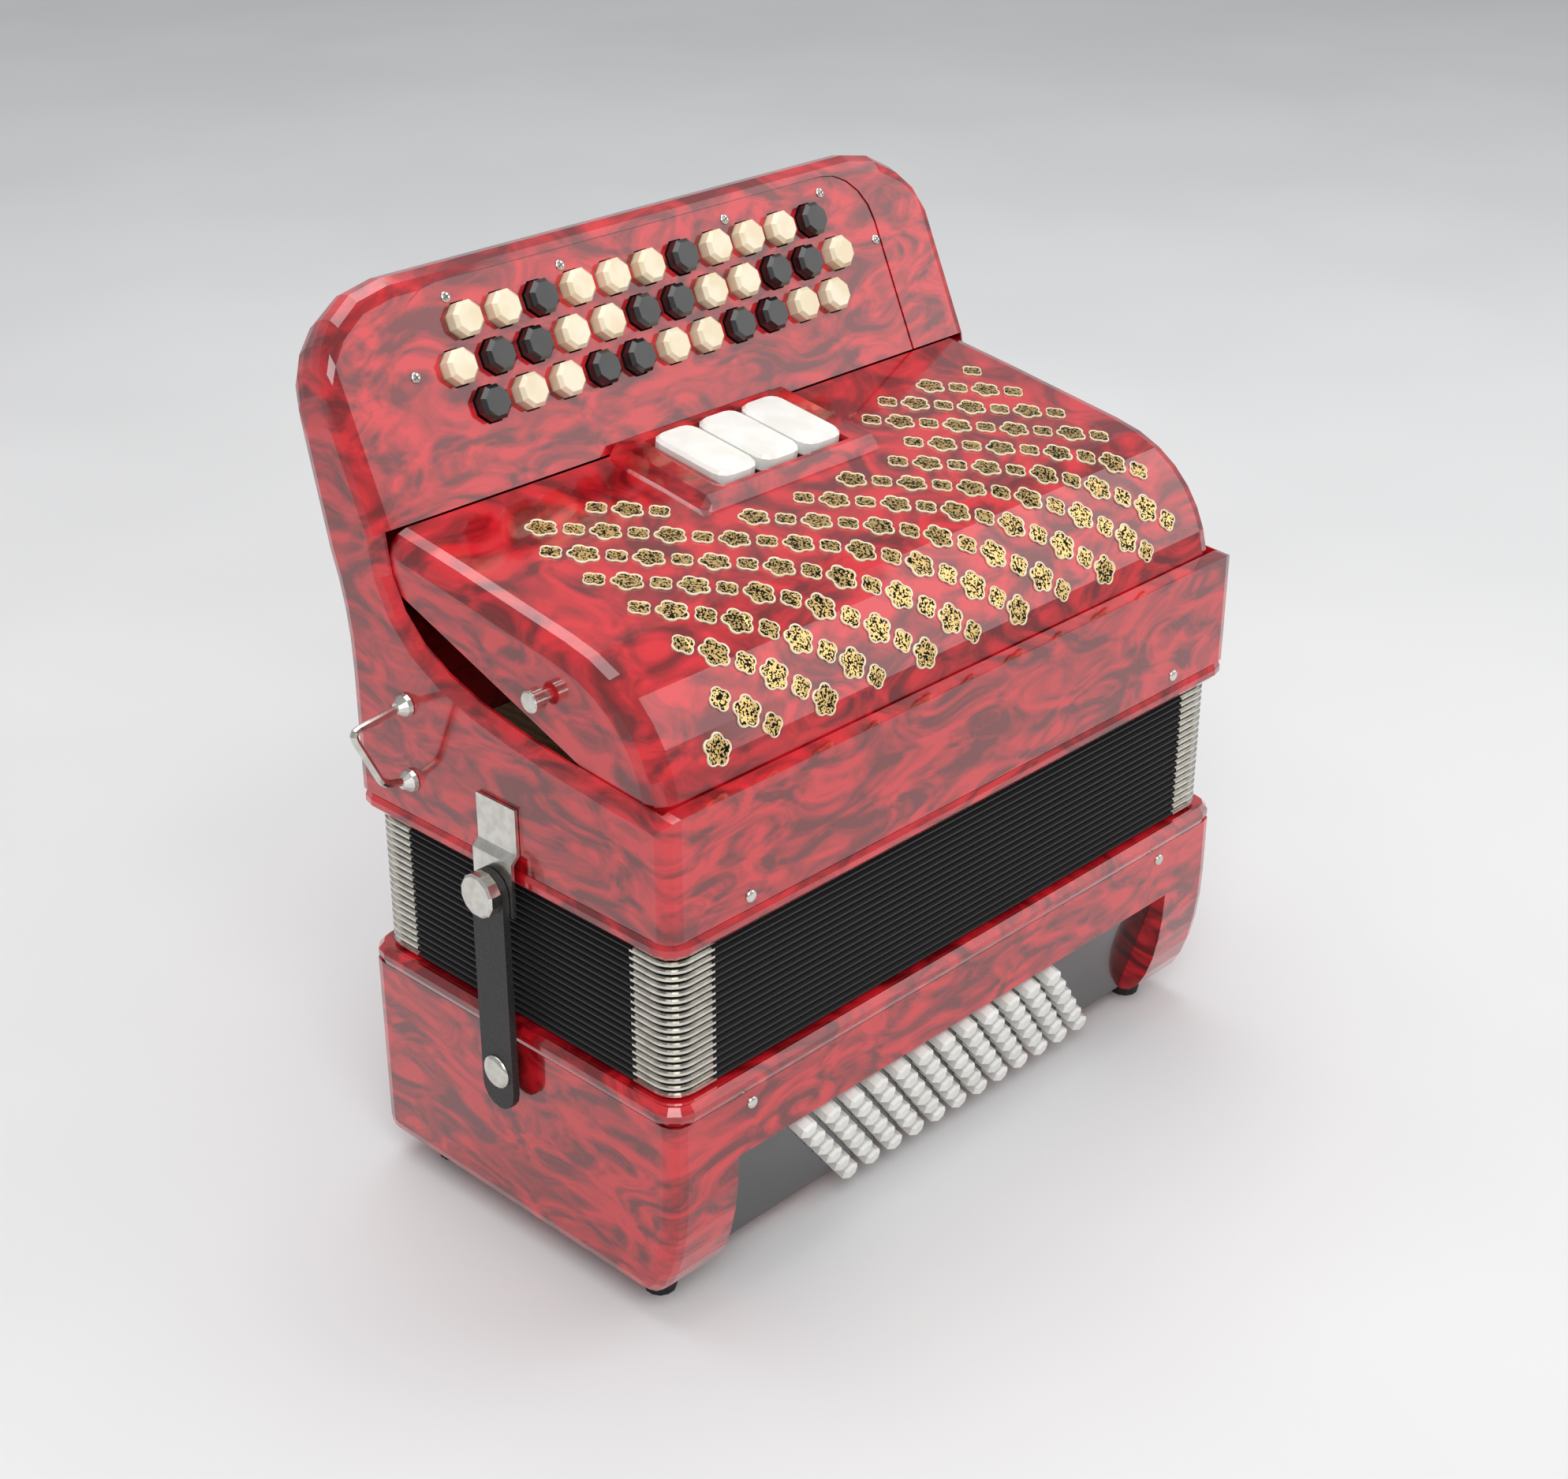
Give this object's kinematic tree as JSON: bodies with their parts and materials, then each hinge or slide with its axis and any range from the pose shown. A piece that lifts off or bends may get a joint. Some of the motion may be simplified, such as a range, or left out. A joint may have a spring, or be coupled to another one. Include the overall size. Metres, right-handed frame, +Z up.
{
  "type": "button accordion",
  "caption": "Button accordion standing on its bass end, with a leaning fingerboard, domed grille cover, register switches, pleated bellows and side straps.",
  "frame": {"origin": "middle of the bounding box at floor level", "axes": "+X along the keyboard to the right, -Y towards the bass buttons' face, +Z up"},
  "size_m": [0.4, 0.2155, 0.3782],
  "materials": {
    "red_celluloid": "polished celluloid",
    "black_cloth": "ribbed bellows cloth",
    "black_plastic": "polished",
    "cream_plastic": "polished",
    "white_plastic": "satin",
    "nickel": "nickel plated",
    "leather": "grained",
    "rubber": "matt",
    "spruce": "bare"
  },
  "bodies": {
    "bass_half": {"bass_casing": "red_celluloid", "bass_button_board": "black_plastic", "bass_bellows_frame": "red_celluloid", "bass_reed_bank": "spruce", "bellows": "black_cloth", "rubber_foot_front_left": "rubber", "rubber_foot_front_right": "rubber", "rubber_foot_back_left": "rubber", "rubber_foot_back_right": "rubber"},
    "treble_half": {"treble_casing": "red_celluloid", "button_panel": "red_celluloid", "grille_cover": "red_celluloid", "treble_bellows_frame": "red_celluloid", "treble_reed_bank": "spruce", "strap_bracket_left": "nickel", "strap_bracket_right": "nickel", "strap_hinge_plate_left": "nickel", "strap_hinge_plate_right": "nickel"},
    "treble_button_1_01": {"treble_button_1_01": "cream_plastic"},
    "treble_button_1_02": {"treble_button_1_02": "cream_plastic"},
    "treble_button_1_03": {"treble_button_1_03": "black_plastic"},
    "treble_button_1_04": {"treble_button_1_04": "cream_plastic"},
    "treble_button_1_05": {"treble_button_1_05": "cream_plastic"},
    "treble_button_1_06": {"treble_button_1_06": "cream_plastic"},
    "treble_button_1_07": {"treble_button_1_07": "black_plastic"},
    "treble_button_1_08": {"treble_button_1_08": "cream_plastic"},
    "treble_button_1_09": {"treble_button_1_09": "cream_plastic"},
    "treble_button_1_10": {"treble_button_1_10": "cream_plastic"},
    "treble_button_1_11": {"treble_button_1_11": "black_plastic"},
    "treble_button_2_01": {"treble_button_2_01": "cream_plastic"},
    "treble_button_2_02": {"treble_button_2_02": "black_plastic"},
    "treble_button_2_03": {"treble_button_2_03": "black_plastic"},
    "treble_button_2_04": {"treble_button_2_04": "cream_plastic"},
    "treble_button_2_05": {"treble_button_2_05": "cream_plastic"},
    "treble_button_2_06": {"treble_button_2_06": "black_plastic"},
    "treble_button_2_07": {"treble_button_2_07": "black_plastic"},
    "treble_button_2_08": {"treble_button_2_08": "cream_plastic"},
    "treble_button_2_09": {"treble_button_2_09": "cream_plastic"},
    "treble_button_2_10": {"treble_button_2_10": "black_plastic"},
    "treble_button_2_11": {"treble_button_2_11": "black_plastic"},
    "treble_button_2_12": {"treble_button_2_12": "cream_plastic"},
    "treble_button_3_01": {"treble_button_3_01": "black_plastic"},
    "treble_button_3_02": {"treble_button_3_02": "cream_plastic"},
    "treble_button_3_03": {"treble_button_3_03": "cream_plastic"},
    "treble_button_3_04": {"treble_button_3_04": "black_plastic"},
    "treble_button_3_05": {"treble_button_3_05": "black_plastic"},
    "treble_button_3_06": {"treble_button_3_06": "cream_plastic"},
    "treble_button_3_07": {"treble_button_3_07": "cream_plastic"},
    "treble_button_3_08": {"treble_button_3_08": "black_plastic"},
    "treble_button_3_09": {"treble_button_3_09": "black_plastic"},
    "treble_button_3_10": {"treble_button_3_10": "cream_plastic"},
    "treble_button_3_11": {"treble_button_3_11": "cream_plastic"},
    "bass_note_buttons": {"bass_note_buttons": "white_plastic"},
    "bass_chord_buttons": {"bass_chord_buttons": "white_plastic"},
    "air_button": {"air_button": "white_plastic"},
    "register_switch_1": {"register_switch_1": "white_plastic"},
    "register_switch_2": {"register_switch_2": "white_plastic"},
    "register_switch_3": {"register_switch_3": "white_plastic"},
    "bellows_strap_left": {"bellows_strap_left": "leather"},
    "bellows_strap_right": {"bellows_strap_right": "leather"}
  },
  "joints": [
    {"name": "bellows_slide", "type": "slide", "parent": "bass_half", "child": "treble_half", "axis": [0, 0, 1], "range_m": [0, 0.26], "deforming": ["bellows"]},
    {"name": "treble_button_1_01_press", "type": "slide", "parent": "treble_half", "child": "treble_button_1_01", "axis": [0, 0.91, -0.4147], "range_m": [0, 0.0035], "stiffness_N_per_m": 200, "springref_m": -0.002},
    {"name": "treble_button_1_02_press", "type": "slide", "parent": "treble_half", "child": "treble_button_1_02", "axis": [0, 0.91, -0.4147], "range_m": [0, 0.0035], "stiffness_N_per_m": 200, "springref_m": -0.002},
    {"name": "treble_button_1_03_press", "type": "slide", "parent": "treble_half", "child": "treble_button_1_03", "axis": [0, 0.91, -0.4147], "range_m": [0, 0.0035], "stiffness_N_per_m": 200, "springref_m": -0.002},
    {"name": "treble_button_1_04_press", "type": "slide", "parent": "treble_half", "child": "treble_button_1_04", "axis": [0, 0.91, -0.4147], "range_m": [0, 0.0035], "stiffness_N_per_m": 200, "springref_m": -0.002},
    {"name": "treble_button_1_05_press", "type": "slide", "parent": "treble_half", "child": "treble_button_1_05", "axis": [0, 0.91, -0.4147], "range_m": [0, 0.0035], "stiffness_N_per_m": 200, "springref_m": -0.002},
    {"name": "treble_button_1_06_press", "type": "slide", "parent": "treble_half", "child": "treble_button_1_06", "axis": [0, 0.91, -0.4147], "range_m": [0, 0.0035], "stiffness_N_per_m": 200, "springref_m": -0.002},
    {"name": "treble_button_1_07_press", "type": "slide", "parent": "treble_half", "child": "treble_button_1_07", "axis": [0, 0.91, -0.4147], "range_m": [0, 0.0035], "stiffness_N_per_m": 200, "springref_m": -0.002},
    {"name": "treble_button_1_08_press", "type": "slide", "parent": "treble_half", "child": "treble_button_1_08", "axis": [0, 0.91, -0.4147], "range_m": [0, 0.0035], "stiffness_N_per_m": 200, "springref_m": -0.002},
    {"name": "treble_button_1_09_press", "type": "slide", "parent": "treble_half", "child": "treble_button_1_09", "axis": [0, 0.91, -0.4147], "range_m": [0, 0.0035], "stiffness_N_per_m": 200, "springref_m": -0.002},
    {"name": "treble_button_1_10_press", "type": "slide", "parent": "treble_half", "child": "treble_button_1_10", "axis": [0, 0.91, -0.4147], "range_m": [0, 0.0035], "stiffness_N_per_m": 200, "springref_m": -0.002},
    {"name": "treble_button_1_11_press", "type": "slide", "parent": "treble_half", "child": "treble_button_1_11", "axis": [0, 0.91, -0.4147], "range_m": [0, 0.0035], "stiffness_N_per_m": 200, "springref_m": -0.002},
    {"name": "treble_button_2_01_press", "type": "slide", "parent": "treble_half", "child": "treble_button_2_01", "axis": [0, 0.91, -0.4147], "range_m": [0, 0.0035], "stiffness_N_per_m": 200, "springref_m": -0.002},
    {"name": "treble_button_2_02_press", "type": "slide", "parent": "treble_half", "child": "treble_button_2_02", "axis": [0, 0.91, -0.4147], "range_m": [0, 0.0035], "stiffness_N_per_m": 200, "springref_m": -0.002},
    {"name": "treble_button_2_03_press", "type": "slide", "parent": "treble_half", "child": "treble_button_2_03", "axis": [0, 0.91, -0.4147], "range_m": [0, 0.0035], "stiffness_N_per_m": 200, "springref_m": -0.002},
    {"name": "treble_button_2_04_press", "type": "slide", "parent": "treble_half", "child": "treble_button_2_04", "axis": [0, 0.91, -0.4147], "range_m": [0, 0.0035], "stiffness_N_per_m": 200, "springref_m": -0.002},
    {"name": "treble_button_2_05_press", "type": "slide", "parent": "treble_half", "child": "treble_button_2_05", "axis": [0, 0.91, -0.4147], "range_m": [0, 0.0035], "stiffness_N_per_m": 200, "springref_m": -0.002},
    {"name": "treble_button_2_06_press", "type": "slide", "parent": "treble_half", "child": "treble_button_2_06", "axis": [0, 0.91, -0.4147], "range_m": [0, 0.0035], "stiffness_N_per_m": 200, "springref_m": -0.002},
    {"name": "treble_button_2_07_press", "type": "slide", "parent": "treble_half", "child": "treble_button_2_07", "axis": [0, 0.91, -0.4147], "range_m": [0, 0.0035], "stiffness_N_per_m": 200, "springref_m": -0.002},
    {"name": "treble_button_2_08_press", "type": "slide", "parent": "treble_half", "child": "treble_button_2_08", "axis": [0, 0.91, -0.4147], "range_m": [0, 0.0035], "stiffness_N_per_m": 200, "springref_m": -0.002},
    {"name": "treble_button_2_09_press", "type": "slide", "parent": "treble_half", "child": "treble_button_2_09", "axis": [0, 0.91, -0.4147], "range_m": [0, 0.0035], "stiffness_N_per_m": 200, "springref_m": -0.002},
    {"name": "treble_button_2_10_press", "type": "slide", "parent": "treble_half", "child": "treble_button_2_10", "axis": [0, 0.91, -0.4147], "range_m": [0, 0.0035], "stiffness_N_per_m": 200, "springref_m": -0.002},
    {"name": "treble_button_2_11_press", "type": "slide", "parent": "treble_half", "child": "treble_button_2_11", "axis": [0, 0.91, -0.4147], "range_m": [0, 0.0035], "stiffness_N_per_m": 200, "springref_m": -0.002},
    {"name": "treble_button_2_12_press", "type": "slide", "parent": "treble_half", "child": "treble_button_2_12", "axis": [0, 0.91, -0.4147], "range_m": [0, 0.0035], "stiffness_N_per_m": 200, "springref_m": -0.002},
    {"name": "treble_button_3_01_press", "type": "slide", "parent": "treble_half", "child": "treble_button_3_01", "axis": [0, 0.91, -0.4147], "range_m": [0, 0.0035], "stiffness_N_per_m": 200, "springref_m": -0.002},
    {"name": "treble_button_3_02_press", "type": "slide", "parent": "treble_half", "child": "treble_button_3_02", "axis": [0, 0.91, -0.4147], "range_m": [0, 0.0035], "stiffness_N_per_m": 200, "springref_m": -0.002},
    {"name": "treble_button_3_03_press", "type": "slide", "parent": "treble_half", "child": "treble_button_3_03", "axis": [0, 0.91, -0.4147], "range_m": [0, 0.0035], "stiffness_N_per_m": 200, "springref_m": -0.002},
    {"name": "treble_button_3_04_press", "type": "slide", "parent": "treble_half", "child": "treble_button_3_04", "axis": [0, 0.91, -0.4147], "range_m": [0, 0.0035], "stiffness_N_per_m": 200, "springref_m": -0.002},
    {"name": "treble_button_3_05_press", "type": "slide", "parent": "treble_half", "child": "treble_button_3_05", "axis": [0, 0.91, -0.4147], "range_m": [0, 0.0035], "stiffness_N_per_m": 200, "springref_m": -0.002},
    {"name": "treble_button_3_06_press", "type": "slide", "parent": "treble_half", "child": "treble_button_3_06", "axis": [0, 0.91, -0.4147], "range_m": [0, 0.0035], "stiffness_N_per_m": 200, "springref_m": -0.002},
    {"name": "treble_button_3_07_press", "type": "slide", "parent": "treble_half", "child": "treble_button_3_07", "axis": [0, 0.91, -0.4147], "range_m": [0, 0.0035], "stiffness_N_per_m": 200, "springref_m": -0.002},
    {"name": "treble_button_3_08_press", "type": "slide", "parent": "treble_half", "child": "treble_button_3_08", "axis": [0, 0.91, -0.4147], "range_m": [0, 0.0035], "stiffness_N_per_m": 200, "springref_m": -0.002},
    {"name": "treble_button_3_09_press", "type": "slide", "parent": "treble_half", "child": "treble_button_3_09", "axis": [0, 0.91, -0.4147], "range_m": [0, 0.0035], "stiffness_N_per_m": 200, "springref_m": -0.002},
    {"name": "treble_button_3_10_press", "type": "slide", "parent": "treble_half", "child": "treble_button_3_10", "axis": [0, 0.91, -0.4147], "range_m": [0, 0.0035], "stiffness_N_per_m": 200, "springref_m": -0.002},
    {"name": "treble_button_3_11_press", "type": "slide", "parent": "treble_half", "child": "treble_button_3_11", "axis": [0, 0.91, -0.4147], "range_m": [0, 0.0035], "stiffness_N_per_m": 200, "springref_m": -0.002},
    {"name": "bass_note_buttons_press", "type": "slide", "parent": "bass_half", "child": "bass_note_buttons", "axis": [0, 0.9598, 0.2807], "range_m": [0, 0.003], "stiffness_N_per_m": 800, "springref_m": -0.002},
    {"name": "bass_chord_buttons_press", "type": "slide", "parent": "bass_half", "child": "bass_chord_buttons", "axis": [0, 0.9598, 0.2807], "range_m": [0, 0.003], "stiffness_N_per_m": 800, "springref_m": -0.002},
    {"name": "air_button_press", "type": "slide", "parent": "bass_half", "child": "air_button", "axis": [0, 0, 1], "range_m": [0, 0.004], "stiffness_N_per_m": 300, "springref_m": -0.002},
    {"name": "register_switch_1_rock", "type": "hinge", "parent": "treble_half", "child": "register_switch_1", "pos_m": [-0.027, 0.04046, 0.29664], "axis": [1, 0, 0], "range_deg": [0, 7], "stiffness_Nm_per_rad": 0.6, "springref_deg": -5.73},
    {"name": "register_switch_2_rock", "type": "hinge", "parent": "treble_half", "child": "register_switch_2", "pos_m": [-0.002, 0.04046, 0.29664], "axis": [1, 0, 0], "range_deg": [0, 7], "stiffness_Nm_per_rad": 0.6, "springref_deg": -5.73},
    {"name": "register_switch_3_rock", "type": "hinge", "parent": "treble_half", "child": "register_switch_3", "pos_m": [0.023, 0.04046, 0.29664], "axis": [1, 0, 0], "range_deg": [0, 7], "stiffness_Nm_per_rad": 0.6, "springref_deg": -5.73},
    {"name": "bellows_strap_left_swing", "type": "hinge", "parent": "treble_half", "child": "bellows_strap_left", "pos_m": [-0.1725, -0.012, 0.1702], "axis": [1, 0, 0], "range_deg": [-150, 95]},
    {"name": "bellows_strap_right_swing", "type": "hinge", "parent": "treble_half", "child": "bellows_strap_right", "pos_m": [0.1725, -0.012, 0.1702], "axis": [1, 0, 0], "range_deg": [-150, 95]}
  ]
}
